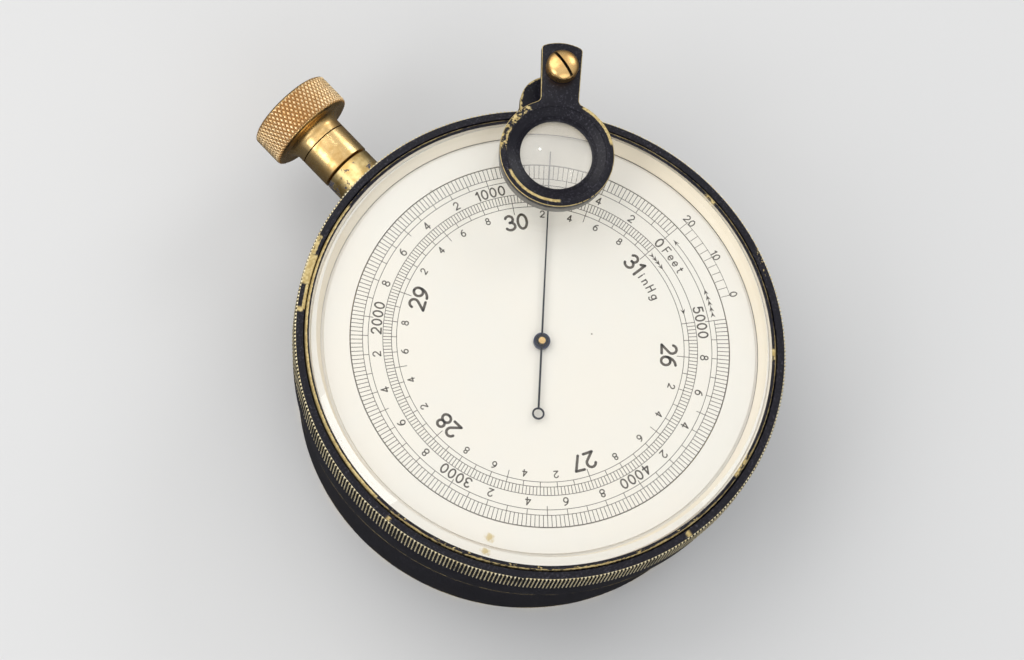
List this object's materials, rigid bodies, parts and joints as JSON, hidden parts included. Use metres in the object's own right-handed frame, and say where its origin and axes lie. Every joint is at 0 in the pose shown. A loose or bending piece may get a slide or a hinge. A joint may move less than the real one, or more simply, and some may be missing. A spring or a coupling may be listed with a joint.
{
  "type": "surveying aneroid barometer",
  "caption": "Round cased aneroid barometer with a silvered dial, a turning vernier ring driven by a side knob, and a swivelling magnifier on a reeded ring.",
  "frame": {"origin": "centre of the flat back face that the instrument lies on", "axes": "+Z out through the dial, +Y towards the knob, +X to the right of the knob seen from the dial side"},
  "size_m": [0.1272, 0.1578, 0.0603],
  "materials": {
    "black_lacquer": "satin black lacquer over brass, worn to the metal along its edges",
    "brass": "aged, turned",
    "silvered_brass": "fine matt silvered",
    "steel": "satin",
    "blued_steel": "blued and polished",
    "clear_glass": "polished"
  },
  "bodies": {
    "case": {"case_body": "black_lacquer", "back_cover": "black_lacquer", "back_screws": "brass", "shoulder_ring": "black_lacquer", "flange_ring": "silvered_brass", "glass": "clear_glass", "glass_bezel": "black_lacquer", "pendant_tube": "brass", "base_plate": "brass", "base_screws": "steel", "capsule": "silvered_brass", "spring_bridge": "brass", "bridge_screws": "steel", "main_spring": "steel", "rocker_posts": "brass", "arbor_cock": "brass", "cock_pillars": "brass", "dial_carrier": "brass", "dial_pillars": "brass", "dial_plate": "silvered_brass", "hairspring": "blued_steel", "hairspring_stud": "brass", "drum_chain": "steel"},
    "vernier": {"vernier_ring": "silvered_brass"},
    "vernier_knob": {"knob": "brass", "knob_shaft": "steel", "pinion": "brass"},
    "needle": {"pointer": "blued_steel", "pointer_collet": "blued_steel", "pointer_arbor": "steel"},
    "lever": {"capsule_post": "steel", "lever_saddle": "brass", "main_lever": "brass", "link": "steel"},
    "rocker": {"rocker_shaft": "steel"},
    "reeded_ring": {"lens_ring": "black_lacquer", "arm_bracket": "black_lacquer", "bracket_screws": "brass", "arm_washer": "brass", "arm_screw": "brass"},
    "magnifier": {"lens_arm": "black_lacquer", "lens_retainer": "black_lacquer", "magnifier_lens": "clear_glass"},
    "adjuster": {"adjusting_screw": "brass"}
  },
  "joints": [
    {"name": "vernier_turn", "type": "hinge", "parent": "case", "child": "vernier", "pos_m": [0, 0, 0.041], "axis": [0, 0, 1], "continuous": true},
    {"name": "knob_turn", "type": "hinge", "parent": "case", "child": "vernier_knob", "pos_m": [0, 0.08, 0.0286], "axis": [0, 1, 0], "continuous": true},
    {"name": "lever_tilt", "type": "hinge", "parent": "case", "child": "lever", "pos_m": [0, -0.026, 0.022], "axis": [1, 0, 0], "range_deg": [-0.44, 2.64], "stiffness_Nm_per_rad": 60},
    {"name": "needle_turn", "type": "hinge", "parent": "case", "child": "needle", "pos_m": [0, 0, 0.042], "axis": [0, 0, 1], "range_deg": [-48, 286]},
    {"name": "rocker_turn", "type": "hinge", "parent": "case", "child": "rocker", "pos_m": [0, 0.04, 0.022], "axis": [1, 0, 0], "range_deg": [-28.95, 4.95]},
    {"name": "lens_ring_turn", "type": "hinge", "parent": "case", "child": "reeded_ring", "pos_m": [0, 0, 0.0415], "axis": [0, 0, 1], "continuous": true},
    {"name": "arm_swivel", "type": "hinge", "parent": "reeded_ring", "child": "magnifier", "pos_m": [0.05207, 0.04856, 0.055], "axis": [0, 0, 1], "range_deg": [-100, 100]},
    {"name": "adjuster_turn", "type": "hinge", "parent": "case", "child": "adjuster", "pos_m": [0, -0.036, 0.008], "axis": [0, 0, 1], "range_deg": [-360, 360]}
  ],
  "couplings": [
    {"joint": "knob_turn", "follows": "vernier_turn", "ratio": -13.5},
    {"joint": "needle_turn", "follows": "lever_tilt", "ratio": 108.15},
    {"joint": "rocker_turn", "follows": "lever_tilt", "ratio": -10.913}
  ]
}
